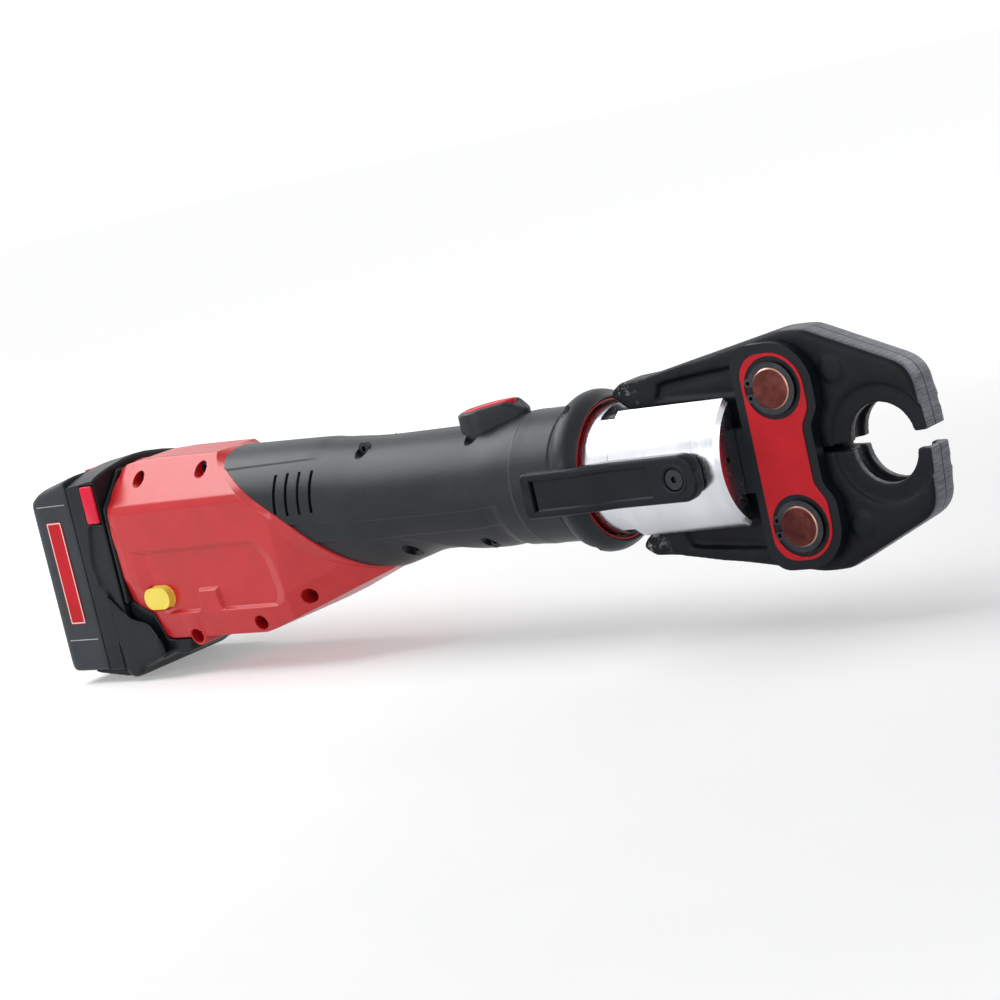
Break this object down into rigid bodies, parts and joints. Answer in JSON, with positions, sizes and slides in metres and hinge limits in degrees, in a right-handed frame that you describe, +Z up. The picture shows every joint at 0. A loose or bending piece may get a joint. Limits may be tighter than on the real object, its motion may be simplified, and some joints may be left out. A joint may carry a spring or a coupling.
{
  "type": "battery press tool",
  "caption": "In-line battery press tool with a swivelling fork head, a pair of press jaws on side plates, a locking pin with lever, and a slide-on battery.",
  "frame": {"origin": "centre of the closed press contour, on the tool axis, in the middle plane of the jaws", "axes": "+X forward along the tool axis towards the jaw tips, +Z up to the start button, -Y to the side of the lever"},
  "size_m": [0.5541, 0.0884, 0.1386],
  "materials": {
    "polished_aluminium": "polished",
    "forged_steel": "blackened, worn edges",
    "black_steel": "satin",
    "pin_bronze": "polished",
    "bright_steel": "ground",
    "dark_steel": "blackened",
    "bush_brass": "turned",
    "black_plastic": "fine texture",
    "grey_plastic": "fine texture",
    "red_plastic": "satin",
    "red_button": "satin",
    "red_sticker": "printed film",
    "yellow_plastic": "satin",
    "clear_grey": "smooth",
    "seal_rubber": "matte",
    "board_green": "solder mask",
    "contact_copper": "bright",
    "cell_wrap": "shrink film",
    "cast_aluminium": "as cast"
  },
  "bodies": {
    "body": {"press_cylinder": "dark_steel", "swivel_bush": "bush_brass", "front_collar": "black_plastic", "collar_ring": "red_plastic", "collar_screws": "dark_steel", "handle_shell_near": "black_plastic", "handle_shell_far": "black_plastic", "rear_housing_near": "red_plastic", "rear_housing_far": "red_plastic", "housing_screws": "dark_steel", "button_surround": "black_plastic", "start_switch": "black_plastic", "release_valve": "bush_brass", "pump_block": "cast_aluminium", "oil_reservoir": "seal_rubber", "pump_plunger": "bright_steel", "gearbox_housing": "cast_aluminium", "ring_gear": "bright_steel", "motor_can": "dark_steel", "control_board": "board_green", "battery_dock": "black_plastic", "dock_contacts": "contact_copper"},
    "head": {"fork_head": "polished_aluminium", "head_circlip": "dark_steel", "side_plate_near": "black_steel", "side_plate_far": "black_steel", "plate_labels": "red_sticker", "jaw_pin_upper": "pin_bronze", "jaw_pin_lower": "pin_bronze", "pin_circlips": "dark_steel", "jaw_spring": "bright_steel"},
    "upper_jaw": {"upper_jaw": "forged_steel"},
    "lower_jaw": {"lower_jaw": "forged_steel"},
    "locking_pin": {"locking_pin": "bright_steel"},
    "lever": {"pin_lever": "black_steel", "lever_screw": "dark_steel"},
    "ram": {"piston": "bright_steel", "piston_seal": "seal_rubber", "roller_yoke": "bright_steel", "roller_axles": "bright_steel", "return_spring": "bright_steel"},
    "upper_roller": {"upper_roller": "bright_steel"},
    "lower_roller": {"lower_roller": "bright_steel"},
    "start_button": {"start_button": "red_button"},
    "release_button": {"release_button": "yellow_plastic"},
    "release_rod": {"release_rod": "bright_steel"},
    "battery": {"battery_case": "grey_plastic", "battery_cover": "black_plastic", "battery_label": "red_sticker", "charge_window": "clear_grey", "battery_cells": "cell_wrap", "battery_terminals": "contact_copper"},
    "charge_button": {"charge_button": "red_button"},
    "battery_release_near": {"battery_release_near": "red_button"},
    "battery_release_far": {"battery_release_far": "red_button"},
    "rotor": {"motor_rotor": "bright_steel"},
    "eccentric": {"eccentric_shaft": "bright_steel"},
    "planet_a": {"planet_gear_a": "bright_steel"},
    "planet_b": {"planet_gear_b": "bright_steel"},
    "planet_c": {"planet_gear_c": "bright_steel"}
  },
  "joints": [
    {"name": "head_swivel", "type": "hinge", "parent": "body", "child": "head", "pos_m": [-0.1675, 0, 0], "axis": [1, 0, 0], "range_deg": [-135, 135]},
    {"name": "press_stroke", "type": "slide", "parent": "head", "child": "ram", "axis": [1, 0, 0], "range_m": [-0.032, 0.008], "deforming": ["return_spring", "jaw_spring"]},
    {"name": "upper_jaw_pivot", "type": "hinge", "parent": "head", "child": "upper_jaw", "pos_m": [-0.044, 0, 0.032], "axis": [0, 1, 0], "range_deg": [-12.85, 3.25]},
    {"name": "lower_jaw_pivot", "type": "hinge", "parent": "head", "child": "lower_jaw", "pos_m": [-0.044, 0, -0.032], "axis": [0, 1, 0], "range_deg": [-3.25, 12.85]},
    {"name": "upper_roller_spin", "type": "hinge", "parent": "ram", "child": "upper_roller", "pos_m": [-0.121, 0, 0.0115], "axis": [0, 1, 0], "continuous": true},
    {"name": "lower_roller_spin", "type": "hinge", "parent": "ram", "child": "lower_roller", "pos_m": [-0.121, 0, -0.0115], "axis": [0, 1, 0], "continuous": true},
    {"name": "locking_pin_pull", "type": "slide", "parent": "head", "child": "locking_pin", "axis": [0, -1, 0], "range_m": [0, 0.05]},
    {"name": "lever_turn", "type": "hinge", "parent": "locking_pin", "child": "lever", "pos_m": [-0.089, -0.04, 0], "axis": [0, 1, 0], "range_deg": [0, 90]},
    {"name": "start_button_press", "type": "slide", "parent": "body", "child": "start_button", "axis": [0, 0, -1], "range_m": [0, 0.003], "stiffness_N_per_m": 600, "springref_m": -0.002},
    {"name": "release_button_press", "type": "slide", "parent": "body", "child": "release_button", "axis": [0, 1, 0], "range_m": [0, 0.0025], "stiffness_N_per_m": 700, "springref_m": -0.002},
    {"name": "release_rod_slide", "type": "slide", "parent": "body", "child": "release_rod", "axis": [1, 0, 0], "range_m": [0, 0.0025]},
    {"name": "battery_slide", "type": "slide", "parent": "body", "child": "battery", "axis": [0, 0, 1], "range_m": [0, 0.075]},
    {"name": "battery_release_near_press", "type": "slide", "parent": "battery", "child": "battery_release_near", "axis": [0, 1, 0], "range_m": [0, 0.0025], "stiffness_N_per_m": 600, "springref_m": -0.002},
    {"name": "battery_release_far_press", "type": "slide", "parent": "battery", "child": "battery_release_far", "axis": [0, -1, 0], "range_m": [0, 0.0025], "stiffness_N_per_m": 600, "springref_m": -0.002},
    {"name": "charge_button_press", "type": "slide", "parent": "battery", "child": "charge_button", "axis": [0, 0, -1], "range_m": [0, 0.001], "stiffness_N_per_m": 500, "springref_m": -0.002},
    {"name": "motor_spin", "type": "hinge", "parent": "body", "child": "rotor", "pos_m": [-0.385, 0, 0], "axis": [1, 0, 0], "continuous": true},
    {"name": "eccentric_spin", "type": "hinge", "parent": "body", "child": "eccentric", "pos_m": [-0.333, 0, 0], "axis": [1, 0, 0], "continuous": true},
    {"name": "planet_a_spin", "type": "hinge", "parent": "eccentric", "child": "planet_a", "pos_m": [-0.3483, 0, 0.012], "axis": [1, 0, 0], "continuous": true},
    {"name": "planet_b_spin", "type": "hinge", "parent": "eccentric", "child": "planet_b", "pos_m": [-0.3483, -0.01039, -0.006], "axis": [1, 0, 0], "continuous": true},
    {"name": "planet_c_spin", "type": "hinge", "parent": "eccentric", "child": "planet_c", "pos_m": [-0.3483, 0.01039, -0.006], "axis": [1, 0, 0], "continuous": true}
  ],
  "couplings": [
    {"joint": "upper_jaw_pivot", "follows": "press_stroke", "rad_per_m": 6.9813},
    {"joint": "lower_jaw_pivot", "follows": "press_stroke", "rad_per_m": -6.9813},
    {"joint": "release_rod_slide", "follows": "release_button_press", "ratio": 1},
    {"joint": "eccentric_spin", "follows": "motor_spin", "ratio": 0.2},
    {"joint": "planet_a_spin", "follows": "motor_spin", "ratio": -0.53333},
    {"joint": "planet_b_spin", "follows": "motor_spin", "ratio": -0.53333},
    {"joint": "planet_c_spin", "follows": "motor_spin", "ratio": -0.53333}
  ]
}
